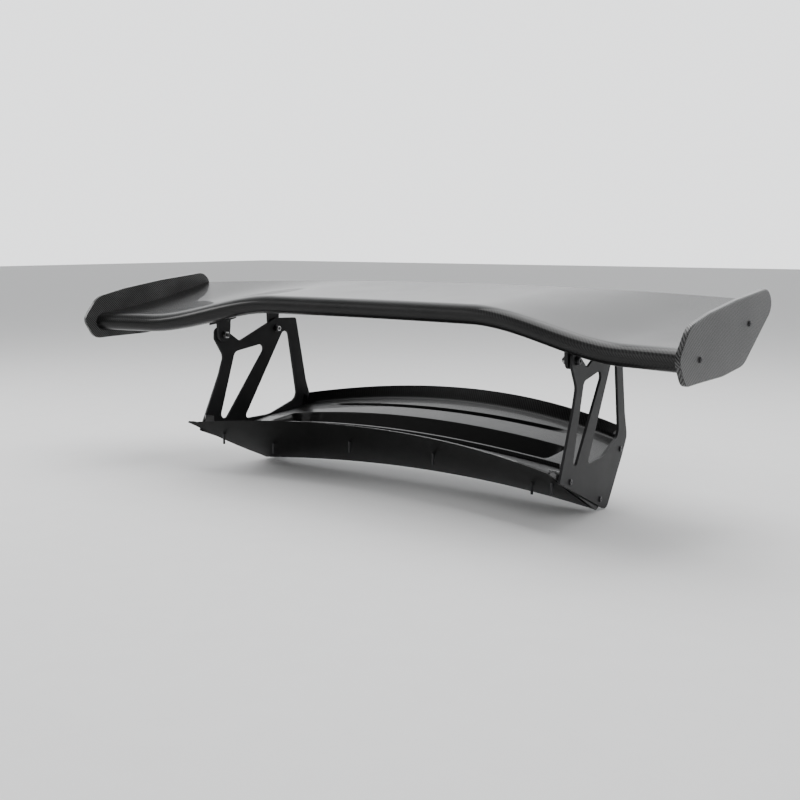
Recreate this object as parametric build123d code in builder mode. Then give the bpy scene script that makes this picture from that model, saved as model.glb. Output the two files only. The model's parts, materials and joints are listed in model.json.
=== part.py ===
"""Rear wing for a saloon car's boot lid: a three-dimensional carbon blade with end plates,
held by two plate stays on a hollow carbon boot spoiler. The blade tilts about two pivot bolts.

Frame: X across the car, +Y rearwards, +Z up, millimetres. The origin is under the middle of
the assembly, at the level of its lowest edge.
"""
from math import atan2, cos, degrees, radians, sin, sqrt, tan
import os

from build123d import *

os.makedirs("parts", exist_ok=True)

# Blade
halfBlade = 845.0
tipLead = -260.0
tipChord = 412.0
planBow = 105.0
tipUnderside = 361.0
tipTop = 406.0
noseRise = 61.0
tipTrail = 479.0
trailArch = 14.0
trailThickness = 5.0
riseStart = 300.0
riseEnd = 700.0
noseFraction = 0.07
skin = 2.2
bondGap = 0.2
coreEnd = 0.93

# End plates
plateThickness = 10.0
plateEdge = 3.0

# Stays
toe = 6.3
stayMiddle = 523.7
stayThickness = 6.0

# Pivot and angle adjustment
pivotY, pivotZ = -96.0, 354.0
adjustY, adjustZ = 92.0, 360.0
tiltLimit = 5.0
pivotRadius = 5.0
adjustRadius = 4.0
runningClearance = 0.05
axialGap = 0.3
washerRadius = 10.0
frontEarOuter = 527.0
frontEarThickness = 8.0
rearEarInner = 520.6
rearEarThickness = 7.0
earHalfWidth = 18.0
padDepth = 6.0
padWidth = 46.0

# Base spoiler
shell = 3.5
flangeThickness = 4.0
pocketEnd = 430.0
pocketFade = 34.0
grooveEnd = 440.0
shallowest = 0.03
studRadius = 3.0
studDrop = 26.0
studNeck = 3.6
neckDrop = 5.0
studSites = [(-500, -125), (-400, -40), (-130, -46), (130, -46), (400, -40), (500, -125)]


def save(part, name):
    part.label = name
    export_step(part, f"parts/{name}.step")


def smooth(value):
    value = min(max(value, 0.0), 1.0)
    return value * value * (3 - 2 * value)


# ---------------------------------------------------------------- blade sections

def blade_values(x):
    """Leading edge, chord, underside, top and trailing height of the section at x."""
    part_span = abs(x) / halfBlade
    bow = planBow * (1 - part_span**2)
    rise = noseRise * (1 - smooth((abs(x) - riseStart) / (riseEnd - riseStart)))
    trail = tipTrail + trailArch * (1 - part_span**2)
    return tipLead + bow, tipChord, tipUnderside + rise, tipTop + rise, trail


def upper_height(x, t):
    lead, chord, under, top, trail = blade_values(x)
    return top + (trail - top) * t**1.4


def lower_height(x, t):
    lead, chord, under, top, trail = blade_values(x)
    climb = (max(t - 0.08, 0.0) / 0.92) ** 1.35
    return under + (trail - trailThickness - under) * climb


def underside(x, y):
    """Height of the blade's lower face at a point."""
    lead, chord = blade_values(x)[:2]
    return lower_height(x, (y - lead) / chord)


def blade_line(x, side, end=1.0):
    """Points of one face of the section, from the leading edge back."""
    lead, chord, under, top, trail = blade_values(x)
    middle = (under + top) / 2
    height = upper_height if side > 0 else lower_height
    points = []
    for step in range(5):
        angle = radians(22.5 * step)
        t = noseFraction * (1 - cos(angle))
        points.append((lead + chord * t, middle + (height(x, t) - middle) * sin(angle)))
    for t in (0.12, 0.2, 0.32, 0.46, 0.62, 0.78, end if end < 0.95 else 0.92, end):
        if points[-1][0] < lead + chord * t - 1:
            points.append((lead + chord * t, height(x, t)))
    return points


def inset_line(points, side, amount):
    """The same line moved into the section by an amount."""
    moved = []
    for i, (y, z) in enumerate(points):
        if i == 0:
            moved.append((y + amount, z))
            continue
        before = points[i - 1]
        after = points[min(i + 1, len(points) - 1)]
        dy, dz = after[0] - before[0], after[1] - before[1]
        length = sqrt(dy * dy + dz * dz)
        moved.append((y + side * amount * dz / length, z - side * amount * dy / length))
    return moved


bladeStations = [0, 140, 270, 350, 420, 480, 540, 600, 670, 750, halfBlade]
bladeStations = [-x for x in reversed(bladeStations[1:])] + bladeStations


def blade_body(inset, end):
    """The whole blade between its faces, or what is left inside them."""
    with BuildPart() as body:
        for x in bladeStations:
            with BuildSketch(Plane.YZ.offset(x)):
                with BuildLine():
                    upper = blade_line(x, 1, end)
                    lower = blade_line(x, -1, end)
                    if inset:
                        upper = inset_line(upper, 1, inset)
                        lower = inset_line(lower, -1, inset)
                    top_edge = Spline(*upper)
                    low_edge = Spline(*lower)
                    Line(top_edge @ 1, low_edge @ 1)
                make_face()
        loft()
    return body.part


def blade_skin(side):
    with BuildPart() as body:
        for x in bladeStations:
            with BuildSketch(Plane.YZ.offset(x)):
                with BuildLine():
                    outer = blade_line(x, side)
                    face = Spline(*outer)
                    back = Spline(*inset_line(outer, side, skin))
                    Line(face @ 0, back @ 0)
                    Line(face @ 1, back @ 1)
                make_face()
        loft()
    return body.part


bladeWhole = blade_body(0, 1.0)
bladeInside = blade_body(skin + bondGap, coreEnd)

# The lower skin and ribs are drilled for the bracket screws, two to each bracket.
frontPadY = pivotY - 2
rearPadY = adjustY + 2
padMiddle = frontEarOuter - frontEarThickness / 2
padScrewX = (padMiddle - 14, padMiddle + 14)
padScrewSites = [(x, y) for y in (frontPadY, rearPadY) for x in padScrewX]
padScrewSites += [(-x, y) for x, y in padScrewSites]
padScrewRadius = 3.0
padScrewReach = {frontPadY: 20.0, rearPadY: 13.0}


def screw_seat(x, y):
    """Height where the head of a bracket screw sits."""
    return underside(abs(x), y) - 4.0


with BuildPart() as blade_upper_skin:
    add(blade_skin(1))

with BuildPart() as blade_lower_skin:
    add(blade_skin(-1))
    for x, y in padScrewSites:
        with Locations((x, y, screw_seat(x, y) + 10)):
            Cylinder(padScrewRadius + 0.3, 40, mode=Mode.SUBTRACT)

# ---------------------------------------------------------------- blade filling

coreSpans = {
    "core_centre": (-498, 498),
    "core_right": (549, 831),
    "mount_rib_right": (498.5, 548.5),
    "end_rib_right": (831.5, 844.8),
}
endScrewSites = [(-205.0, 386.0), (34.0, 439.0)]
endScrewRadius = 3.0


def mirrored(part):
    with BuildPart() as copy:
        add(mirror(part, about=Plane.YZ, mode=Mode.PRIVATE))
    return copy.part


for name, (start, finish) in coreSpans.items():
    with BuildPart() as piece:
        with Locations(((start + finish) / 2, 0, 430)):
            Box(finish - start, 700, 300)
        add(bladeInside, mode=Mode.INTERSECT)
        if name.startswith("mount_rib"):
            for x, y in padScrewSites:
                if x > 0:
                    with Locations((x, y, screw_seat(x, y))):
                        Cylinder(padScrewRadius, 2 * padScrewReach[y] + 1, mode=Mode.SUBTRACT)
        if name.startswith("end_rib"):
            for y, z in endScrewSites:
                with Locations(Location(((start + finish) / 2, y, z), (0, 90, 0))):
                    Cylinder(endScrewRadius, 30, mode=Mode.SUBTRACT)
    save(piece.part, name)
    if name.endswith("right"):
        save(mirrored(piece.part), name.replace("right", "left"))

save(blade_upper_skin.part, "blade_upper_skin")
save(blade_lower_skin.part, "blade_lower_skin")

# ---------------------------------------------------------------- end plates

plateOutline = [(-300, 392), (-252, 451), (-160, 471), (-30, 490), (132, 507), (172, 470), (14, 355),
                (-90, 343), (-205, 341), (-266, 339)]
plateRadii = [26, 55, 300, 400, 34, 28, 70, 300, 60, 32]


def along_x(x, y, z):
    """A place at a point, with its axis along X."""
    return Location((x, y, z), (0, 90, 0))


with BuildPart() as end_plate_right:
    with BuildSketch(Plane.YZ.offset(halfBlade)):
        with BuildLine():
            FilletPolyline(*plateOutline, radius=plateRadii, close=True)
        make_face()
    extrude(amount=plateThickness)
    fillet(edges().group_by(Axis.X)[-1], plateEdge)
    for y, z in endScrewSites:
        with Locations(along_x(halfBlade, y, z)):
            Cylinder(endScrewRadius + 0.3, 30, mode=Mode.SUBTRACT)
save(end_plate_right.part, "end_plate_right")
save(mirrored(end_plate_right.part), "end_plate_left")


# ---------------------------------------------------------------- screws, nuts and washers

def button_screw(place, radius, length, head):
    """A button-head socket screw; its head stands out along the plane's normal."""
    height = radius * 1.1
    with BuildPart(place) as screw:
        Cylinder(radius, length, align=(Align.CENTER, Align.CENTER, Align.MAX))
        Cylinder(head, height, align=(Align.CENTER, Align.CENTER, Align.MIN))
        rims = edges().filter_by(GeomType.CIRCLE).sort_by(Axis(place.origin, place.z_dir))
        fillet(rims[-1], height * 0.6)
        with BuildSketch(place.offset(height)):
            RegularPolygon(radius * 0.62, 6)
        extrude(amount=-height * 0.6, mode=Mode.SUBTRACT)
    return screw.part


def facing_x(x, y, z):
    return Plane(origin=(x, y, z), x_dir=(0, 1, 0), z_dir=(1, 0, 0))


def hex_nut(start, finish, y, z, bore, flats):
    """A nut along X between two planes."""
    with BuildPart() as nut:
        with BuildSketch(Plane.YZ.offset(min(start, finish))):
            with Locations((y, z)):
                RegularPolygon(flats / 2, 6, major_radius=False)
                Circle(bore, mode=Mode.SUBTRACT)
        extrude(amount=abs(finish - start))
    return nut.part


def ring(start, finish, y, z, bore, outer):
    with BuildPart() as body:
        with Locations(along_x((start + finish) / 2, y, z)):
            Cylinder(outer, abs(finish - start))
            Cylinder(bore, abs(finish - start), mode=Mode.SUBTRACT)
    return body.part


def save_pair(part, name):
    """One node with the right-hand piece and its mirror image."""
    with BuildPart() as pair:
        add(part)
        mirror(about=Plane.YZ)
    save(pair.part, name)


with BuildPart() as end_plate_screws:
    for y, z in endScrewSites:
        add(button_screw(facing_x(halfBlade + plateThickness, y, z), endScrewRadius, 22, 6))
save_pair(end_plate_screws.part, "end_plate_screws")

# ---------------------------------------------------------------- stays

stayTurn = radians(toe)
stayPlane = Plane(
    origin=(stayMiddle, 0, 0),
    x_dir=(-sin(stayTurn), cos(stayTurn), 0),
    z_dir=(cos(stayTurn), sin(stayTurn), 0),
)
stayOutline = [(-118, 374), (-76, 374), (-76, 361), (-36, 333), (91, 389), (165, 387), (200, 206),
               (219, 148), (184, 100), (96, -5.3), (-172, 104), (-108, 246), (-91, 296), (-119, 343)]
stayRadii = [16, 9, 8, 12, 3, 8, 90, 24, 60, 25, 4, 90, 24, 12]
windows = [
    ([(-53, 305.5), (62, 324.5), (-122, 78)], [18, 13, 12]),
    ([(-25, 119.5), (64, 122), (166, 158), (131, 377)], [8, 100, 26, 14]),
]
stayScrewSites = [(-118, 98), (55, 27), (175, 123)]
stayScrewRadius = 3.0


def stay_face_x(y, offset):
    """X on the stay's middle plane moved outwards by an offset, at a given Y."""
    return stayMiddle - y * tan(stayTurn) + offset / cos(stayTurn)


with BuildPart() as stay_right:
    with BuildSketch(stayPlane):
        with BuildLine():
            FilletPolyline(*stayOutline, radius=stayRadii, close=True)
        make_face()
        for corners, radii in windows:
            with BuildLine():
                FilletPolyline(*corners, radius=radii, close=True)
            make_face(mode=Mode.SUBTRACT)
        with Locations(*stayScrewSites):
            Circle(stayScrewRadius + 0.3, mode=Mode.SUBTRACT)
    extrude(amount=stayThickness / 2, both=True)
    for y, z, radius in ((pivotY, pivotZ, pivotRadius), (adjustY, adjustZ, adjustRadius)):
        with Locations(along_x(stay_face_x(y, 0), y, z)):
            Cylinder(radius + runningClearance, 40, mode=Mode.SUBTRACT)
save(stay_right.part, "stay_right")
save(mirrored(stay_right.part), "stay_left")

# ---------------------------------------------------------------- brackets under the blade

frontEar = (frontEarOuter - frontEarThickness, frontEarOuter)
rearEar = (rearEarInner, rearEarInner + rearEarThickness)
slotRadius = sqrt((adjustY - pivotY) ** 2 + (adjustZ - pivotZ) ** 2)
slotMiddle = degrees(atan2(adjustZ - pivotZ, adjustY - pivotY))


def bracket(ear, ear_y, foot_z, pad_y, pad_length):
    """A pad that follows the blade's underside, with an ear hanging from it."""
    shoulder = underside(ear[0], ear_y) + 6
    spread = earHalfWidth + 6
    with BuildPart() as body:
        with Locations((padMiddle, pad_y, 400)):
            Box(padWidth, pad_length, 200)
        fillet(edges().filter_by(Axis.Z), 8)
        with Locations((0, 0, -padDepth)):
            add(bladeWhole, mode=Mode.INTERSECT)
        with BuildSketch(Plane.YZ.offset(ear[0])):
            with BuildLine():
                FilletPolyline(
                    (ear_y - earHalfWidth, foot_z), (ear_y + earHalfWidth, foot_z),
                    (ear_y + spread, shoulder), (ear_y - spread, shoulder),
                    radius=[earHalfWidth * 0.9, earHalfWidth * 0.9, 1, 1], close=True,
                )
            make_face()
        extrude(amount=ear[1] - ear[0])
        add(bladeWhole, mode=Mode.SUBTRACT)
    return body.part


with BuildPart() as front_bracket:
    add(bracket(frontEar, pivotY, pivotZ - earHalfWidth, frontPadY, 64))
    with Locations(along_x(sum(frontEar) / 2, pivotY, pivotZ)):
        Cylinder(pivotRadius + runningClearance, 30, mode=Mode.SUBTRACT)

with BuildPart() as rear_bracket:
    add(bracket(rearEar, adjustY, adjustZ - 28, rearPadY, 56))
    with BuildSketch(Plane.YZ.offset(rearEar[0] - 1)):
        with BuildLine(mode=Mode.PRIVATE) as slot_path:
            CenterArc((pivotY, pivotZ), slotRadius, slotMiddle - tiltLimit - 0.5, 2 * tiltLimit + 1)
        SlotArc(slot_path.edges()[0], 2 * (adjustRadius + runningClearance))
    extrude(amount=rearEarThickness + 2, mode=Mode.SUBTRACT)

for name, body in (("front_bracket", front_bracket), ("rear_bracket", rear_bracket)):
    with BuildPart() as finished:
        add(body.part)
        for x, y in padScrewSites:
            if x > 0:
                with Locations((x, y, screw_seat(x, y))):
                    Cylinder(padScrewRadius + 0.3, 60, mode=Mode.SUBTRACT)
                with Locations((x, y, screw_seat(x, y) - 15)):
                    Cylinder(6.3, 30, mode=Mode.SUBTRACT)
    save(finished.part, name + "_right")
    save(mirrored(finished.part), name + "_left")

padHead = {"radius": 5.5, "height": 3.2, "socket": 2.0, "depth": 1.8}

with BuildPart() as bracket_screws:
    for x, y in padScrewSites:
        seat = screw_seat(x, y)
        with Locations((x, y, seat + padScrewReach[y] / 2)):
            Cylinder(padScrewRadius, padScrewReach[y])
        with Locations((x, y, seat - padHead["height"] / 2)):
            Cylinder(padHead["radius"], padHead["height"])
        with BuildSketch(Plane((x, y, seat - padHead["height"]))):
            RegularPolygon(padHead["socket"], 6)
        extrude(amount=padHead["depth"], mode=Mode.SUBTRACT)
save(bracket_screws.part, "bracket_screws")

# ---------------------------------------------------------------- pivot and adjustment hardware

pivotFace = 541.0
pivotInner = 527.3
adjustFace = 520.3
adjustInner = 507.0
washerInner = frontEar[0] - axialGap
washerOuter = rearEar[1] + axialGap
washerThickness = 2.0


def tapered_pair(start, finish, y, z, bore):
    """Two wedge washers that square a bolt to the toed-in stay, one on each face of it."""
    with BuildPart() as pair:
        add(ring(start, finish, y, z, bore, washerRadius))
        with BuildSketch(stayPlane):
            with Locations((y, z)):
                Circle(40)
        extrude(amount=stayThickness / 2, both=True, mode=Mode.SUBTRACT)
    return pair.part


pivotNutFace = washerInner - washerThickness
save_pair(button_screw(facing_x(pivotFace, pivotY, pivotZ), pivotRadius, 36, 8.75), "pivot_bolts")
save_pair(hex_nut(pivotNutFace - 8, pivotNutFace, pivotY, pivotZ, pivotRadius, 16), "pivot_nuts")
save_pair(ring(pivotNutFace, washerInner, pivotY, pivotZ, pivotRadius + 0.2, washerRadius), "pivot_washers")
save_pair(tapered_pair(pivotInner, pivotFace, pivotY, pivotZ, pivotRadius + 0.2), "pivot_tapered_washers")

adjustHead = washerOuter + washerThickness
save_pair(button_screw(facing_x(adjustHead, adjustY, adjustZ), adjustRadius, 32, 7), "adjust_bolts")
save_pair(hex_nut(adjustInner - 8, adjustInner, adjustY, adjustZ, adjustRadius, 13), "adjust_nuts")
save_pair(ring(washerOuter, adjustHead, adjustY, adjustZ, adjustRadius + 0.2, washerRadius), "adjust_washers")
save_pair(
    tapered_pair(adjustInner, adjustFace, adjustY, adjustZ, adjustRadius + 0.2), "adjust_tapered_washers"
)

# ---------------------------------------------------------------- base spoiler

nutPlateThickness = 4.0


def base_points(x):
    """Front crest, pocket rim, kick crease, lip and skirt's lower edge of the section at x."""
    side = abs(x) / 500
    crest = (abs(x) / 547) ** 2
    edge = (abs(x) / 520) ** 2
    return {
        "crest": (-130 - 84 * crest, 161 - 30 * crest),
        "rim": (-52 + 22 * side**2, 149 - 39 * side**2),
        "crease": (258 - 63 * side**2, 181 - 44 * side**2),
        "lip": (290 - 86 * side**2, 213 - 44 * side**2),
        "edge": (94 - 46 * edge, 24 - 22 * edge),
    }


def bulged(start, finish, amount):
    """Points between two ends, bowed out below the straight line."""
    dy, dz = finish[0] - start[0], finish[1] - start[1]
    length = sqrt(dy * dy + dz * dz)
    points = []
    for step in range(6):
        t = step / 5
        out = 4 * amount * t * (1 - t)
        points.append((start[0] + dy * t + out * dz / length, start[1] + dz * t - out * dy / length))
    return points


def beside(points, amount):
    """The polyline moved to its left by an amount, with mitred corners."""
    moved = []
    for i in range(len(points)):
        before = points[max(i - 1, 0)]
        here = points[i]
        after = points[min(i + 1, len(points) - 1)]
        normals = []
        for a, b in ((before, here), (here, after)):
            length = sqrt((b[0] - a[0]) ** 2 + (b[1] - a[1]) ** 2)
            if length > 0:
                normals.append(((a[1] - b[1]) / length, (b[0] - a[0]) / length))
        ny = sum(n[0] for n in normals) / len(normals)
        nz = sum(n[1] for n in normals) / len(normals)
        size = ny * ny + nz * nz
        moved.append((here[0] + amount * ny / size, here[1] + amount * nz / size))
    return moved


def top_line(x):
    """The top shell's upper face: channel, rim, pocket, land, groove, kick and lip."""
    place = base_points(x)
    crest, rim, crease, lip = place["crest"], place["rim"], place["crease"], place["lip"]
    pocket = max(smooth((pocketEnd - abs(x)) / pocketFade), shallowest)
    groove = max(smooth((grooveEnd - abs(x)) / 60), shallowest)

    def land(y):
        return rim[1] + (crease[1] - rim[1]) * (y - rim[0]) / (crease[0] - rim[0])

    return [
        (crest[0] + 35.6, crest[1] - 8.5), (rim[0] - 7, rim[1] - 9), rim, (rim[0] + 8, land(rim[0] + 8)),
        (rim[0] + 26, land(rim[0] + 26) - 36 * pocket), (58, land(58) - 42 * pocket), (70, land(70)),
        (150, land(150)), (172, land(172) - 8 * groove), (178, land(178)), crease, lip,
        (lip[0] + 5, lip[1] - 1),
    ]


def skirt_line(x):
    place = base_points(x)
    return bulged(place["crest"], place["edge"], 5)


def rear_line(x):
    place = base_points(x)
    foot = (place["edge"][0] + 6, place["edge"][1] + 1.2)
    return bulged(foot, (place["crease"][0] + 3, place["crease"][1] - 7.5), 10)


def top_section(x):
    upper = top_line(x)
    return upper + beside(upper, -shell)[::-1]


def skirt_section(x):
    """The front nose is solid; behind it the skirt is a sheet."""
    crest = base_points(x)["crest"]
    outer = skirt_line(x)
    inner = beside(outer, shell)
    slope = (inner[2][1] - inner[1][1]) / (inner[2][0] - inner[1][0])
    back = crest[0] + 34
    back_low = (back, inner[1][1] + (back - inner[1][0]) * slope)
    nose = [(crest[0] + 18, crest[1] - 3), (crest[0] + 24, crest[1] - 8), (back, crest[1] - 8.5)]
    return outer + inner[:1:-1] + [back_low] + nose[::-1]


def rear_section(x):
    outer = rear_line(x)
    return outer + beside(outer, shell)[::-1]


baseStations = [0, 110, 220, 300, 360, 396, 413, 430, 445, 460, 505, 545]
baseStations = [-x for x in reversed(baseStations[1:])] + baseStations
flangeFace = -stayThickness / 2 - flangeThickness
cutPlane = stayPlane.offset(flangeFace - bondGap)
leftCutPlane = Plane(
    origin=(-cutPlane.origin.X, cutPlane.origin.Y, 0), z_dir=(-cutPlane.z_dir.X, cutPlane.z_dir.Y, 0)
)


def base_shell(section):
    with BuildPart() as body:
        for x in baseStations:
            with BuildSketch(Plane.YZ.offset(x)):
                with BuildLine():
                    Polyline(*section(x), close=True)
                make_face()
        loft(ruled=True)
        split(bisect_by=cutPlane, keep=Keep.BOTTOM)
        split(bisect_by=leftCutPlane, keep=Keep.BOTTOM)
    return body.part


with BuildPart() as base_top_shell:
    add(base_shell(top_section))
save(base_top_shell.part, "base_top_shell")

with BuildPart() as base_rear_panel:
    add(base_shell(rear_section))
save(base_rear_panel.part, "base_rear_panel")


def skirt_height(x, y):
    """Height of the skirt's outer face at a point."""
    line = skirt_line(x)
    for (y1, z1), (y2, z2) in zip(line, line[1:]):
        if y1 <= y <= y2:
            return z1 + (z2 - z1) * (y - y1) / (y2 - y1)
    return line[-1][1]


with BuildPart() as base_skirt:
    add(base_shell(skirt_section))
    for x, y in studSites:
        with Locations((x, y, skirt_height(x, y))):
            Cylinder(studNeck + 0.2, 40, mode=Mode.SUBTRACT)
save(base_skirt.part, "base_skirt")

# Closing plates between the shells and the stays, and tapped plates behind them.
flangeOutline = [(-213, 131), (-207, 134), (-190, 131), (-176, 124.5), (-40, 100), (-32, 107.5), (60, 118),
                 (184, 132.5), (192, 164), (202, 162), (203, 150), (193, 121), (100, 22), (54, 3), (48, 3)]
nutPlateOutline = [(-131, 101.5), (-123, 108.5), (-50, 93), (40, 95), (168, 126.3), (180, 127.3), (182, 121),
                   (64, 19), (50, 20)]


def stay_plate(outline, start, finish, bore):
    with BuildPart() as plate:
        with BuildSketch(stayPlane.offset(start)):
            with BuildLine():
                Polyline(*outline, close=True)
            make_face()
            with Locations(*stayScrewSites):
                Circle(bore, mode=Mode.SUBTRACT)
        extrude(amount=finish - start)
    return plate.part


baseEnd = stay_plate(flangeOutline, flangeFace, -stayThickness / 2, stayScrewRadius + 0.3)
nutPlate = stay_plate(nutPlateOutline, flangeFace - nutPlateThickness, flangeFace, stayScrewRadius)
save(baseEnd, "base_end_right")
save(mirrored(baseEnd), "base_end_left")
save(nutPlate, "stay_nut_plate_right")
save(mirrored(nutPlate), "stay_nut_plate_left")

with BuildPart() as stay_screws:
    for y, z in stayScrewSites:
        spot = stayPlane.from_local_coords((y, z, stayThickness / 2))
        place = Plane(origin=spot, x_dir=stayPlane.x_dir, z_dir=stayPlane.z_dir)
        add(button_screw(place, stayScrewRadius, 14, 6.5))
save_pair(stay_screws.part, "stay_screws")

# Ribs that join the shells inside the base.
ribPlace = 300.0
ribThickness = 4.0
ribGap = 1.0

with BuildPart() as base_rib_right:
    with BuildSketch(Plane.YZ.offset(ribPlace - ribThickness / 2)):
        with BuildLine():
            roof = beside(top_line(ribPlace), -shell - ribGap)[1:10]
            back = beside(rear_line(ribPlace), shell + ribGap)[1:5]
            floor = beside(skirt_line(ribPlace), shell + ribGap)[2:5]
            Polyline(*roof, *back[::-1], *floor[::-1], close=True)
        make_face()
    extrude(amount=ribThickness)
save(base_rib_right.part, "base_rib_right")
save(mirrored(base_rib_right.part), "base_rib_left")

# ---------------------------------------------------------------- studs through the boot lid

padHeight = 5.5
headHeight = 4.0

with BuildPart() as trunk_studs:
    for x, y in studSites:
        low = skirt_height(x, y)
        high = low + shell + padHeight
        with Locations((x, y, (low - studDrop + high) / 2)):
            Cylinder(studRadius, high - low + studDrop)
        with Locations((x, y, (low - neckDrop + high) / 2)):
            Cylinder(studNeck, high - low + neckDrop)
        with Locations((x, y, high + headHeight / 2)):
            Cylinder(5.0, headHeight)
save(trunk_studs.part, "trunk_studs")

def stud_pad(x, y):
    """A puck that levels the sloping skirt under a stud's head."""
    with BuildPart() as puck:
        with Locations((x, y, skirt_height(x, y) + (shell + padHeight) / 2)):
            Cylinder(9, shell + padHeight)
            Cylinder(studNeck + 0.2, shell + padHeight, mode=Mode.SUBTRACT)
        add(base_skirt.part, mode=Mode.SUBTRACT)
    return puck.solids().sort_by(Axis.Z)[-1]


with BuildPart() as stud_pads:
    for x, y in studSites:
        add(stud_pad(x, y))
save(stud_pads.part, "stud_pads")
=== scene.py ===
import json
from math import cos, pi, radians, sin, sqrt, tan

import bmesh
import bpy
import numpy as np
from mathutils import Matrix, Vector


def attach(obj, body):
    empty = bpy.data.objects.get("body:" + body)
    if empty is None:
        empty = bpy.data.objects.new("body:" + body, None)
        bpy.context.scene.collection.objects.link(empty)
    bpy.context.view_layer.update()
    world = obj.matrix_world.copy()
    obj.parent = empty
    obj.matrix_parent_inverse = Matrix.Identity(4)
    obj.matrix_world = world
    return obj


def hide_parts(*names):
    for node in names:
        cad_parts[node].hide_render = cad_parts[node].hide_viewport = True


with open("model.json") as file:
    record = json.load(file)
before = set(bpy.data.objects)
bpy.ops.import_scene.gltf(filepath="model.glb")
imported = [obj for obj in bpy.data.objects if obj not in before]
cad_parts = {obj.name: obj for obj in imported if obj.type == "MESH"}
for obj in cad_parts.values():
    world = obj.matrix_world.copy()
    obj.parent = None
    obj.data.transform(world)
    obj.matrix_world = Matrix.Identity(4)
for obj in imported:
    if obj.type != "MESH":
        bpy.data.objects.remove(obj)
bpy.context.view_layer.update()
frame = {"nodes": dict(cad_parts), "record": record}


def deselectAll():
    for thing in bpy.context.selected_objects:
        thing.select_set(False)


def smoothStep(value):
    value = min(max(value, 0.0), 1.0)
    return value * value * (3 - 2 * value)


def newGroup(name, inputs, outputs):
    group = bpy.data.node_groups.new(name, "ShaderNodeTree")
    for label, kind, value in inputs:
        socket = group.interface.new_socket(label, in_out="INPUT", socket_type=kind)
        socket.default_value = value
    for label, kind in outputs:
        group.interface.new_socket(label, in_out="OUTPUT", socket_type=kind)
    return group, group.nodes.new("NodeGroupInput"), group.nodes.new("NodeGroupOutput")


def addMath(tree, operation, a, b=None):
    node = tree.nodes.new("ShaderNodeMath")
    node.operation = operation
    for socket, value in zip(node.inputs, (a, b)):
        if value is None:
            continue
        if isinstance(value, (int, float)):
            socket.default_value = value
        else:
            tree.links.new(value, socket)
    return node.outputs[0]


twill = {
    "tow": 0.0017, "bump": 0.00006, "repeat": 4, "overShare": 0.49,
    "sideFacing": 0.75, "upFacing": 0.45, "cloudScale": 9.0, "cloudDetail": 3.0,
}


def makeWeaveGroup():
    # A 2x2 twill on the face of the box the surface looks along.
    group, given, out = newGroup(
        "twillWeave",
        [("Tow", "NodeSocketFloat", 0.002)],
        [("Warp", "NodeSocketFloat"), ("Height", "NodeSocketFloat"), ("Cloudy", "NodeSocketFloat")],
    )
    links = group.links
    place = group.nodes.new("ShaderNodeTexCoord")
    spot = group.nodes.new("ShaderNodeSeparateXYZ")
    facing = group.nodes.new("ShaderNodeSeparateXYZ")
    links.new(place.outputs["Object"], spot.inputs[0])
    links.new(place.outputs["Normal"], facing.inputs[0])
    sideways = addMath(group, "ABSOLUTE", facing.outputs[0])
    sideways = addMath(group, "GREATER_THAN", sideways, twill["sideFacing"])
    upright = addMath(group, "ABSOLUTE", facing.outputs[2])
    upright = addMath(group, "LESS_THAN", upright, twill["upFacing"])

    def choose(mask, no, yes):
        mix = group.nodes.new("ShaderNodeMix")
        links.new(mask, mix.inputs[0])
        links.new(no, mix.inputs[2])
        links.new(yes, mix.inputs[3])
        return mix.outputs[0]

    across = choose(sideways, spot.outputs[0], spot.outputs[1])
    along = choose(upright, spot.outputs[1], spot.outputs[2])
    along = choose(sideways, along, spot.outputs[2])
    u = addMath(group, "DIVIDE", across, given.outputs["Tow"])
    v = addMath(group, "DIVIDE", along, given.outputs["Tow"])
    step = addMath(group, "ADD", addMath(group, "FLOOR", u), addMath(group, "FLOOR", v))
    phase = addMath(group, "FRACT", addMath(group, "MULTIPLY", step, 1 / twill["repeat"]))
    warp = addMath(group, "LESS_THAN", phase, twill["overShare"])
    crowns = []
    for side in (u, v):
        turn = addMath(group, "MULTIPLY", addMath(group, "FRACT", side), pi)
        crowns.append(addMath(group, "SINE", turn))
    noise = group.nodes.new("ShaderNodeTexNoise")
    noise.inputs["Scale"].default_value = twill["cloudScale"]
    noise.inputs["Detail"].default_value = twill["cloudDetail"]
    links.new(place.outputs["Object"], noise.inputs["Vector"])
    links.new(warp, out.inputs["Warp"])
    links.new(choose(warp, crowns[1], crowns[0]), out.inputs["Height"])
    links.new(noise.outputs["Fac"], out.inputs["Cloudy"])
    return group


speckle = {"patchScale": 14.0, "detail": 4.0}


def makeSpeckGroup():
    # Fine grain and wider patches, for paint, metal, foam and the floor.
    group, given, out = newGroup(
        "fineGrain",
        [("Scale", "NodeSocketFloat", 400.0)],
        [("Grain", "NodeSocketFloat"), ("Patches", "NodeSocketFloat")],
    )
    place = group.nodes.new("ShaderNodeTexCoord")
    for socket in ("Grain", "Patches"):
        noise = group.nodes.new("ShaderNodeTexNoise")
        noise.inputs["Detail"].default_value = speckle["detail"]
        if socket == "Grain":
            group.links.new(given.outputs["Scale"], noise.inputs["Scale"])
        else:
            noise.inputs["Scale"].default_value = speckle["patchScale"]
        group.links.new(place.outputs["Object"], noise.inputs["Vector"])
        group.links.new(noise.outputs["Fac"], out.inputs[socket])
    return group


weaveGroup = makeWeaveGroup()
speckGroup = makeSpeckGroup()


def placeGroup(tree, group, values):
    node = tree.nodes.new("ShaderNodeGroup")
    node.node_tree = group
    for label, value in values.items():
        node.inputs[label].default_value = value
    return node


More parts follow.
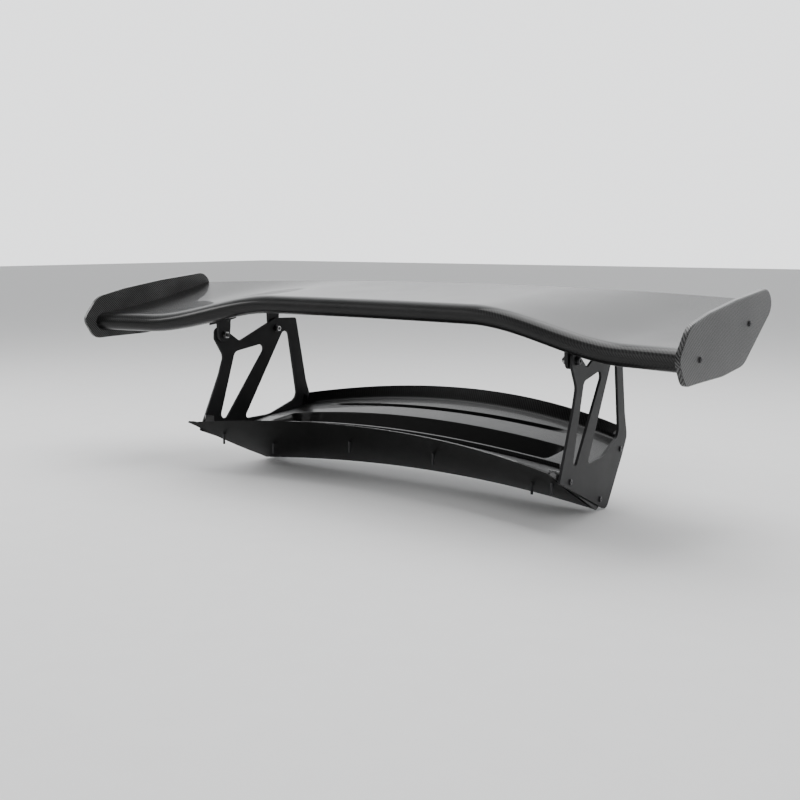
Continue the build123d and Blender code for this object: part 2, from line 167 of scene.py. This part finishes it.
def addRamp(tree, source, low, high, lowSpot=0.0, highSpot=1.0):
    ramp = tree.nodes.new("ShaderNodeValToRGB")
    for stop, spot, tone in zip(ramp.color_ramp.elements, (lowSpot, highSpot), (low, high)):
        stop.position = spot
        stop.color = (*tone, 1) if isinstance(tone, tuple) else (tone, tone, tone, 1)
    tree.links.new(source, ramp.inputs[0])
    return ramp.outputs[0]


def startMaterial(name):
    material = bpy.data.materials.new(name)
    material.use_nodes = True
    return material, material.node_tree, material.node_tree.nodes["Principled BSDF"]


def addBump(tree, shader, height, distance):
    bump = tree.nodes.new("ShaderNodeBump")
    bump.inputs["Distance"].default_value = distance
    bump.inputs["Strength"].default_value = 1.0
    tree.links.new(height, bump.inputs["Height"])
    tree.links.new(bump.outputs[0], shader.inputs["Normal"])


lacquer = {"brightEnd": 0.75, "smoother": 0.04, "rougher": 0.05, "coatRough": 0.035, "coatIor": 1.5}


def makeCarbon(name, dark, light, rough, coat, specular):
    material, tree, shader = startMaterial(name)
    weave = placeGroup(tree, weaveGroup, {"Tow": twill["tow"]})
    shade = addMath(tree, "MULTIPLY", weave.outputs["Warp"], weave.outputs["Cloudy"])
    colour = addRamp(tree, shade, dark, light, 0.0, lacquer["brightEnd"])
    lowRough, highRough = rough - lacquer["smoother"], rough + lacquer["rougher"]
    sheen = addRamp(tree, weave.outputs["Cloudy"], lowRough, highRough)
    tree.links.new(colour, shader.inputs["Base Color"])
    tree.links.new(sheen, shader.inputs["Roughness"])
    addBump(tree, shader, weave.outputs["Height"], twill["bump"])
    shader.inputs["Specular IOR Level"].default_value = specular
    shader.inputs["Coat Weight"].default_value = coat
    shader.inputs["Coat Roughness"].default_value = lacquer["coatRough"]
    shader.inputs["Coat IOR"].default_value = lacquer["coatIor"]
    return material


satin = {"darkShare": 0.75, "patchStart": 0.35, "patchEnd": 0.65, "roughSpread": 0.06}


def makeSatin(name, tone, rough, metallic, grain, bump, specular=0.5):
    material, tree, shader = startMaterial(name)
    speck = placeGroup(tree, speckGroup, {"Scale": grain})
    dark = tuple(satin["darkShare"] * part for part in tone)
    patches = speck.outputs["Patches"]
    colour = addRamp(tree, patches, dark, tone, satin["patchStart"], satin["patchEnd"])
    lowRough, highRough = rough - satin["roughSpread"], rough + satin["roughSpread"]
    sheen = addRamp(tree, speck.outputs["Grain"], lowRough, highRough)
    tree.links.new(colour, shader.inputs["Base Color"])
    tree.links.new(sheen, shader.inputs["Roughness"])
    shader.inputs["Metallic"].default_value = metallic
    shader.inputs["Specular IOR Level"].default_value = specular
    addBump(tree, shader, speck.outputs["Grain"], bump)
    return material


carbonLooks = {
    "carbonGloss": {"dark": 0.002, "light": 0.02, "rough": 0.34, "coat": 0.3, "specular": 0.12},
    # Painted shade: a darker copy of the carbon for the blade's underside and the base's rear panel.
    "carbonUnderPaintedShade": {"dark": 0.001, "light": 0.009, "rough": 0.4, "coat": 0.25, "specular": 0.1},
    "carbonLand": {"dark": 0.002, "light": 0.016, "rough": 0.36, "coat": 0.15, "specular": 0.1},
    # Painted shade: a darker, duller copy of the carbon for the skirt under the blade's nose.
    "carbonSkirtPaintedShade": {"dark": 0.0006, "light": 0.005, "rough": 0.4, "coat": 0.05, "specular": 0.03},
    # Painted shade: a darker copy of the carbon for the pocket and the groove under the blade.
    "carbonPocketPaintedShade": {"dark": 0.001, "light": 0.008, "rough": 0.45, "coat": 0.03, "specular": 0.1},
    "carbonPlate": {"dark": 0.004, "light": 0.11, "rough": 0.36, "coat": 0.3, "specular": 0.25},
    # Painted highlight: a much lighter, glossier copy of the carbon for the ledge along the top of the
    # skirt.
    "carbonLedgePaintedHighlight": {"dark": 0.03, "light": 0.5, "rough": 0.3, "coat": 0.8, "specular": 0.5},
}
satinLooks = {
    "plateBlack": {
        "tone": (0.03, 0.03, 0.031), "rough": 0.42, "metallic": 0.0, "grain": 900.0, "bump": 0.00002,
        "specular": 0.08,
    },
    "boltBlack": {
        "tone": (0.03, 0.03, 0.032), "rough": 0.36, "metallic": 0.6, "grain": 1200.0, "bump": 0.00001,
    },
    "zincSteel": {
        "tone": (0.5, 0.5, 0.5), "rough": 0.3, "metallic": 1.0, "grain": 1200.0, "bump": 0.00001,
    },
    "foamCream": {
        "tone": (0.7, 0.66, 0.52), "rough": 0.9, "metallic": 0.0, "grain": 600.0, "bump": 0.0002,
    },
    "laminateDark": {
        "tone": (0.1, 0.1, 0.1), "rough": 0.6, "metallic": 0.0, "grain": 500.0, "bump": 0.00005,
    },
}
looks = {}
for name, values in carbonLooks.items():
    looks[name] = makeCarbon(name, **values)
for name, values in satinLooks.items():
    looks[name] = makeSatin(name, **values)
print("materials made")

slotLooks = {
    "carbon": looks["carbonGloss"], "black_plate": looks["plateBlack"],
    "black_steel": looks["boltBlack"], "steel": looks["zincSteel"],
    "foam": looks["foamCream"], "laminate": looks["laminateDark"],
}
for entry in frame["record"]["subparts"]:
    node = frame["nodes"][entry["node"]]
    if node.type == "MESH":
        node.data.materials.clear()
        node.data.materials.append(slotLooks[entry["material_slot"]])
for name in ("end_plate_left", "end_plate_right"):
    frame["nodes"][name].data.materials[0] = looks["carbonPlate"]
print("frame dressed")


def beside(points, amount):
    # The line moved sideways by the same amount all along, to its left.
    moved = []
    for i, here in enumerate(points):
        before = points[max(i - 1, 0)]
        after = points[min(i + 1, len(points) - 1)]
        normals = []
        for a, b in ((before, here), (here, after)):
            length = sqrt((b[0] - a[0]) ** 2 + (b[1] - a[1]) ** 2)
            if length > 1e-9:
                normals.append(((a[1] - b[1]) / length, (b[0] - a[0]) / length))
        ny = sum(n[0] for n in normals) / len(normals)
        nz = sum(n[1] for n in normals) / len(normals)
        size = ny * ny + nz * nz
        moved.append((here[0] + amount * ny / size, here[1] + amount * nz / size))
    return moved


arcSteps = 5
leastReach = 0.0004


def rounded(points, radii):
    # Each inner corner becomes an arc of the given radius, or smaller where the sides are short.
    result = [points[0]]
    for i in range(1, len(points) - 1):
        here = Vector(points[i])
        back = Vector(points[i - 1]) - here
        ahead = Vector(points[i + 1]) - here
        turn = pi - back.angle(ahead)
        reach = max(radii[i] * tan(turn / 2), leastReach)
        reach = min(reach, 0.45 * back.length, 0.45 * ahead.length)
        a = here + back.normalized() * reach
        b = here + ahead.normalized() * reach
        for step in range(arcSteps + 1):
            t = step / arcSteps
            spot = a * (1 - t) ** 2 + here * 2 * t * (1 - t) + b * t**2
            result.append((spot.x, spot.y))
    result.append(points[-1])
    return result


def makeSheet(name, rows, body, materials, pick=None, sharp=35.0):
    # Rows are closed loops of the same number of points, joined one to the next and capped.
    mesh = bpy.data.meshes.new(name)
    count = len(rows[0])
    points = [point for row in rows for point in row]
    faces = []
    for i in range(len(rows) - 1):
        for j in range(count):
            k = (j + 1) % count
            faces.append((i * count + j, i * count + k, (i + 1) * count + k, (i + 1) * count + j))
    half = count // 2
    for start in (0, (len(rows) - 1) * count):
        for j in range(half - 1):
            faces.append((start + j, start + j + 1, start + count - 2 - j, start + count - 1 - j))
    mesh.from_pydata(points, [], faces)
    work = bmesh.new()
    work.from_mesh(mesh)
    bmesh.ops.recalc_face_normals(work, faces=work.faces)
    work.to_mesh(mesh)
    work.free()
    piece = bpy.data.objects.new(name, mesh)
    bpy.context.scene.collection.objects.link(piece)
    deselectAll()
    piece.select_set(True)
    bpy.context.view_layer.objects.active = piece
    bpy.ops.object.shade_smooth_by_angle(angle=radians(sharp))
    for material in materials:
        mesh.materials.append(material)
    if pick:
        for i in range(len(rows) - 1):
            for j in range(count):
                mesh.polygons[i * count + j].material_index = pick(j, rows[i][j][0], count)
    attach(piece, body)
    return piece


blade = {
    "half": 0.845, "lead": -0.260, "chord": 0.412, "bow": 0.105, "under": 0.361, "top": 0.406,
    "rise": 0.061, "riseStart": 0.300, "riseEnd": 0.700, "trail": 0.479, "arch": 0.014,
    "edge": 0.005, "nose": 0.07, "topCurve": 1.4, "underCurve": 1.35, "underStart": 0.08,
    "skin": 0.0022, "stations": 180, "noseSteps": 12, "bodySteps": 24,
}


def bladeValues(x):
    span = abs(x) / blade["half"]
    fall = (abs(x) - blade["riseStart"]) / (blade["riseEnd"] - blade["riseStart"])
    lift = blade["rise"] * (1 - smoothStep(fall))
    lead = blade["lead"] + blade["bow"] * (1 - span**2)
    trail = blade["trail"] + blade["arch"] * (1 - span**2)
    return lead, blade["under"] + lift, blade["top"] + lift, trail


def bladeHeight(x, t, side):
    under, top, trail = bladeValues(x)[1:]
    if side > 0:
        return top + (trail - top) * t ** blade["topCurve"]
    along = max(t - blade["underStart"], 0.0) / (1 - blade["underStart"])
    return under + (trail - blade["edge"] - under) * along ** blade["underCurve"]


def bladeFace(x, side):
    # From the foremost point round the nose, then straight back along the chord.
    lead, under, top, trail = bladeValues(x)
    middle = (under + top) / 2
    points = []
    for step in range(blade["noseSteps"] + 1):
        angle = radians(90 * step / blade["noseSteps"])
        t = blade["nose"] * (1 - cos(angle))
        height = middle + (bladeHeight(x, t, side) - middle) * sin(angle)
        points.append((lead + blade["chord"] * t, height))
    for step in range(1, blade["bodySteps"] + 1):
        t = blade["nose"] + (1 - blade["nose"]) * step / blade["bodySteps"]
        points.append((lead + blade["chord"] * t, bladeHeight(x, t, side)))
    return points


def bladeRows(side):
    rows = []
    for i in range(blade["stations"] + 1):
        x = blade["half"] * (2 * i / blade["stations"] - 1)
        outer = bladeFace(x, side)
        inner = beside(outer, -side * blade["skin"])
        inner[0] = (outer[0][0] + blade["skin"], outer[0][1])
        rows.append([(x, y, z) for y, z in outer + inner[::-1]])
    return rows


for label, side, node, look in (
    ("bladeUpper", 1, "blade_upper_skin", "carbonGloss"),
    # The lower skin's darker carbon is painted shade.
    ("bladeLower", -1, "blade_lower_skin", "carbonUnderPaintedShade"),
):
    piece = makeSheet(label, bladeRows(side), "wing", [looks[look]])
    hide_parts(node)

# The filling lies just inside the skins, cut off short of the trailing edge.
filling = {
    "core_left": {"from": -0.831, "to": -0.549, "slot": "foam"},
    "core_centre": {"from": -0.498, "to": 0.498, "slot": "foam"},
    "core_right": {"from": 0.549, "to": 0.831, "slot": "foam"},
    "mount_rib_left": {"from": -0.5485, "to": -0.4985, "slot": "laminate"},
    "mount_rib_right": {"from": 0.4985, "to": 0.5485, "slot": "laminate"},
    "end_rib_left": {"from": -0.8448, "to": -0.8315, "slot": "laminate"},
    "end_rib_right": {"from": 0.8315, "to": 0.8448, "slot": "laminate"},
}
fillingFit = {"inset": 0.0026, "points": 34, "spacing": 0.02}


def fillingRows(start, finish):
    rows = []
    steps = max(int((finish - start) / fillingFit["spacing"]), 2)
    for i in range(steps + 1):
        x = start + (finish - start) * i / steps
        upper = beside(bladeFace(x, 1)[:fillingFit["points"]], -fillingFit["inset"])
        lower = beside(bladeFace(x, -1)[:fillingFit["points"]], fillingFit["inset"])
        rows.append([(x, y, z) for y, z in upper[1:] + lower[:0:-1]])
    return rows


for node, block in filling.items():
    label = "filling" + "".join(part.capitalize() for part in node.split("_"))
    rows = fillingRows(block["from"], block["to"])
    piece = makeSheet(label, rows, "wing", [slotLooks[block["slot"]]])
    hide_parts(node)
print("blade made")

# Each line of the base bends away from its middle place as the square of the half width.
baseLines = {
    "crest": {"middle": (-0.130, 0.161), "bend": (-0.084, -0.030), "half": 0.547},
    "rim": {"middle": (-0.052, 0.149), "bend": (0.022, -0.039), "half": 0.5},
    "crease": {"middle": (0.258, 0.181), "bend": (-0.063, -0.044), "half": 0.5},
    "lip": {"middle": (0.290, 0.213), "bend": (-0.086, -0.044), "half": 0.5},
    "edge": {"middle": (0.094, 0.024), "bend": (-0.046, -0.022), "half": 0.52},
}
base = {
    "shell": 0.0035, "cut": 0.5165, "toe": 0.1104, "stations": 200, "reach": 0.548, "samples": 275,
    "leanTurns": 6, "bulgeSteps": 16,
}
top = {
    "channelStart": (0.0343, -0.0085), "channelEnd": (-0.007, -0.009), "rimWidth": 0.008,
    "pocketStart": 0.026, "pocketFront": 0.036, "pocketBack": 0.058, "pocketRear": 0.042,
    "pocketRim": 0.070, "pocketEnd": 0.430, "pocketFade": 0.034, "pocketDark": 0.426,
    "grooveStart": 0.150, "grooveFloor": 0.172, "grooveRim": 0.178, "grooveDeep": 0.008,
    "grooveEnd": 0.390, "grooveFade": 0.08, "grooveDark": 0.350, "lipWidth": (0.005, -0.001),
    "radii": [0, 0.006, 0.003, 0.003, 0.014, 0.012, 0.004, 0.02, 0.004, 0.002, 0.02, 0.003, 0],
}
skirt = {
    "bulge": 0.005, "tip": (0.018, -0.003), "front": (0.024, -0.008), "back": (0.034, -0.0085),
    "slopeFrom": 2, "slopeTo": 6, "sheetSteps": 12, "ledgeHighlightEnd": 0.44,
}
rear = {"bulge": 0.010, "foot": (0.006, 0.0012), "head": (0.003, -0.0075)}


def basePoints(x):
    places = {}
    for name, line in baseLines.items():
        share = (x / line["half"]) ** 2
        places[name] = tuple(a + b * share for a, b in zip(line["middle"], line["bend"]))
    return places


def shifted(point, change):
    return point[0] + change[0], point[1] + change[1]


def topLine(x):
    place = basePoints(x)
    crest, rim, crease, lip = place["crest"], place["rim"], place["crease"], place["lip"]
    pocket = smoothStep((top["pocketEnd"] - abs(x)) / top["pocketFade"])
    groove = smoothStep((top["grooveEnd"] - abs(x)) / top["grooveFade"])

    def land(y, sunk=0.0):
        share = (y - rim[0]) / (crease[0] - rim[0])
        return y, rim[1] + (crease[1] - rim[1]) * share - sunk

    points = [
        shifted(crest, top["channelStart"]), shifted(rim, top["channelEnd"]), rim,
        land(rim[0] + top["rimWidth"]),
        land(rim[0] + top["pocketStart"], top["pocketFront"] * pocket),
        land(top["pocketBack"], top["pocketRear"] * pocket),
        land(top["pocketRim"]), land(top["grooveStart"]),
        land(top["grooveFloor"], top["grooveDeep"] * groove),
        land(top["grooveRim"]), crease, lip, shifted(lip, top["lipWidth"]),
    ]
    return rounded(points, top["radii"])


def bulged(start, finish, amount):
    dy, dz = finish[0] - start[0], finish[1] - start[1]
    length = sqrt(dy * dy + dz * dz)
    points = []
    for step in range(base["bulgeSteps"] + 1):
        t = step / base["bulgeSteps"]
        out = 4 * amount * t * (1 - t)
        points.append((start[0] + dy * t + out * dz / length, start[1] + dz * t - out * dy / length))
    return points


def topSection(x):
    upper = topLine(x)
    return upper + beside(upper, -base["shell"])[::-1]


def skirtSection(x):
    place = basePoints(x)
    outer = bulged(place["crest"], place["edge"], skirt["bulge"])
    inner = beside(outer, base["shell"])
    # The same number of points at every station: the sheet is sampled evenly behind the nose.
    back = shifted(place["crest"], skirt["back"])
    near, far = inner[skirt["slopeFrom"]], inner[skirt["slopeTo"]]
    slope = (far[1] - near[1]) / (far[0] - near[0])
    low = (back[0], near[1] + (back[0] - near[0]) * slope)
    last = inner[-1]
    sheet = []
    for step in range(skirt["sheetSteps"] + 1):
        t = step / skirt["sheetSteps"]
        y = low[0] + (last[0] - low[0]) * t
        for a, b in zip(inner, inner[1:]):
            if a[0] <= y <= b[0]:
                sheet.append((y, a[1] + (b[1] - a[1]) * (y - a[0]) / (b[0] - a[0])))
                break
        else:
            sheet.append(last if t > 0.5 else low)
    nose = [back, shifted(place["crest"], skirt["front"]), shifted(place["crest"], skirt["tip"])]
    return outer + sheet[::-1] + nose


def rearSection(x):
    place = basePoints(x)
    foot = shifted(place["edge"], rear["foot"])
    outer = bulged(foot, shifted(place["crease"], rear["head"]), rear["bulge"])
    return outer + beside(outer, base["shell"])[::-1]


def baseRows(section):
    # Each station leans so that the last one lies in the plane of the stay.
    grid = np.linspace(0, base["reach"], base["samples"])
    known = np.array([section(x) for x in grid])
    rows = []
    for i in range(base["stations"] + 1):
        t = 2 * i / base["stations"] - 1
        row = []
        for j in range(known.shape[1]):
            x = abs(t) * base["cut"]
            for again in range(base["leanTurns"]):
                y = np.interp(x, grid, known[:, j, 0])
                x = abs(t) * (base["cut"] - base["toe"] * y)
            y, z = (float(np.interp(x, grid, known[:, j, axis])) for axis in (0, 1))
            row.append((x if t > 0 else -x, y, z))
        rows.append(row)
    return rows


def cornerStart(corner):
    return 1 + (corner - 1) * (arcSteps + 1)


pocketFaces = range(cornerStart(4) - 1, cornerStart(6))
grooveFaces = range(cornerStart(8), cornerStart(9))


def pickTop(j, x, count):
    # The pocket and the groove lie in the blade's shade.
    if j in grooveFaces:
        return 1 if abs(x) < top["grooveDark"] else 0
    return 1 if j in pocketFaces and abs(x) < top["pocketDark"] else 0


def pickSkirt(j, x, count):
    # The ledge along the skirt's top gets the light carbon, a painted highlight.
    return 1 if j == count - 1 and abs(x) < skirt["ledgeHighlightEnd"] else 0


for label, section, node, materials, pick in (
    ("baseTop", topSection, "base_top_shell", ["carbonLand", "carbonPocketPaintedShade"], pickTop),
    # The skirt's darker carbon is painted shade.
    ("baseSkirt", skirtSection, "base_skirt", ["carbonSkirtPaintedShade", "carbonLedgePaintedHighlight"], pickSkirt),
    # The rear panel's darker carbon is painted shade.
    ("baseRear", rearSection, "base_rear_panel", ["carbonUnderPaintedShade"], None),
):
    chosen = [looks[look] for look in materials]
    piece = makeSheet(label, baseRows(section), "base", chosen, pick)
    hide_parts(node)

# Small steel angles hold the channel's ends to the stays.
angle = {
    "front": -0.156, "back": -0.128, "inside": 0.510, "stay": 0.5237, "stayGap": 0.0032,
    "wall": 0.0016, "rise": 0.020, "bend": 0.003, "steps": 4,
    "floorAt": -0.140, "floor": 0.1212, "floorSlope": -0.204, "floorGap": 0.0003,
}


def angleRows(side):
    rows = []
    for step in range(angle["steps"] + 1):
        y = angle["front"] + (angle["back"] - angle["front"]) * step / angle["steps"]
        outside = angle["stay"] - base["toe"] * y - angle["stayGap"]
        low = angle["floor"] + angle["floorSlope"] * (y - angle["floorAt"]) + angle["floorGap"]
        corners = [(angle["inside"], low), (outside, low), (outside, low + angle["rise"])]
        profile = rounded(corners, [0, angle["bend"], 0])
        inner = beside(profile, angle["wall"])[::-1]
        rows.append([(side * x, y, z) for x, z in profile + inner])
    return rows


for side, word in ((1, "Right"), (-1, "Left")):
    makeSheet("channelAngle" + word, angleRows(side), "base", [looks["zincSteel"]], sharp=30.0)
print("base made")

view = {"place": (1.70127, -2.20884, 0.61071), "down": 8.111, "turn": 37.685, "lens": 51.41, "sensor": 36.0}
cameraData = bpy.data.cameras.new("camera")
cameraData.lens = view["lens"]
cameraData.sensor_width = view["sensor"]
camera = bpy.data.objects.new("camera", cameraData)
camera.location = view["place"]
camera.rotation_euler = (radians(90 - view["down"]), 0, radians(view["turn"]))
bpy.context.scene.collection.objects.link(camera)
bpy.context.scene.camera = camera

ground = {"size": 40, "height": -0.0015, "dark": 0.86, "light": 0.9, "rough": 0.8, "grain": 60.0}
deselectAll()
bpy.ops.mesh.primitive_plane_add(size=ground["size"], location=(0, 0, ground["height"]))
floor = bpy.context.active_object
floor.name = "floor"
floorMaterial, floorTree, floorShader = startMaterial("paleFloor")
floorSpeck = placeGroup(floorTree, speckGroup, {"Scale": ground["grain"]})
floorTone = addRamp(floorTree, floorSpeck.outputs["Patches"], ground["dark"], ground["light"])
floorTree.links.new(floorTone, floorShader.inputs["Base Color"])
floorShader.inputs["Roughness"].default_value = ground["rough"]
floor.data.materials.append(floorMaterial)

# The studio is white behind the wing, and dim in front of it and high up.
studio = {
    "tone": (0.95, 0.96, 0.97, 1), "towards": (-0.6, 0.8, -0.8),
    "From Min": -0.35, "From Max": 0.45, "To Min": 0.3, "To Max": 2.2,
}
world = bpy.data.worlds.new("studio")
world.use_nodes = True
sky = world.node_tree
sky.nodes["Background"].inputs[0].default_value = studio["tone"]
lookingAway = sky.nodes.new("ShaderNodeVectorMath")
lookingAway.operation = "DOT_PRODUCT"
lookingAway.inputs[1].default_value = studio["towards"]
sky.links.new(sky.nodes.new("ShaderNodeTexCoord").outputs["Generated"], lookingAway.inputs[0])
fade = sky.nodes.new("ShaderNodeMapRange")
fade.interpolation_type = "SMOOTHSTEP"
for socket in ("From Min", "From Max", "To Min", "To Max"):
    fade.inputs[socket].default_value = studio[socket]
sky.links.new(lookingAway.outputs["Value"], fade.inputs["Value"])
sky.links.new(fade.outputs[0], sky.nodes["Background"].inputs[1])
bpy.context.scene.world = world

lamps = {
    "overhead": {"place": (0.2, 0.6, 3.0), "aim": (0, 0, 0.3), "size": 3.0, "power": 105},
    "left": {"place": (-3.2, -1.6, 1.8), "aim": (0, 0, 0.3), "size": 1.6, "power": 60},
    "front": {"place": (2.6, -2.6, 2.4), "aim": (0, 0, 0.3), "size": 1.2, "power": 26},
}
for label, lamp in lamps.items():
    lightData = bpy.data.lights.new(label, "AREA")
    lightData.size = lamp["size"]
    lightData.energy = lamp["power"]
    light = bpy.data.objects.new(label, lightData)
    light.location = lamp["place"]
    light.rotation_euler = (Vector(lamp["aim"]) - Vector(lamp["place"])).to_track_quat("-Z", "Y").to_euler()
    bpy.context.scene.collection.objects.link(light)
print("stage set")
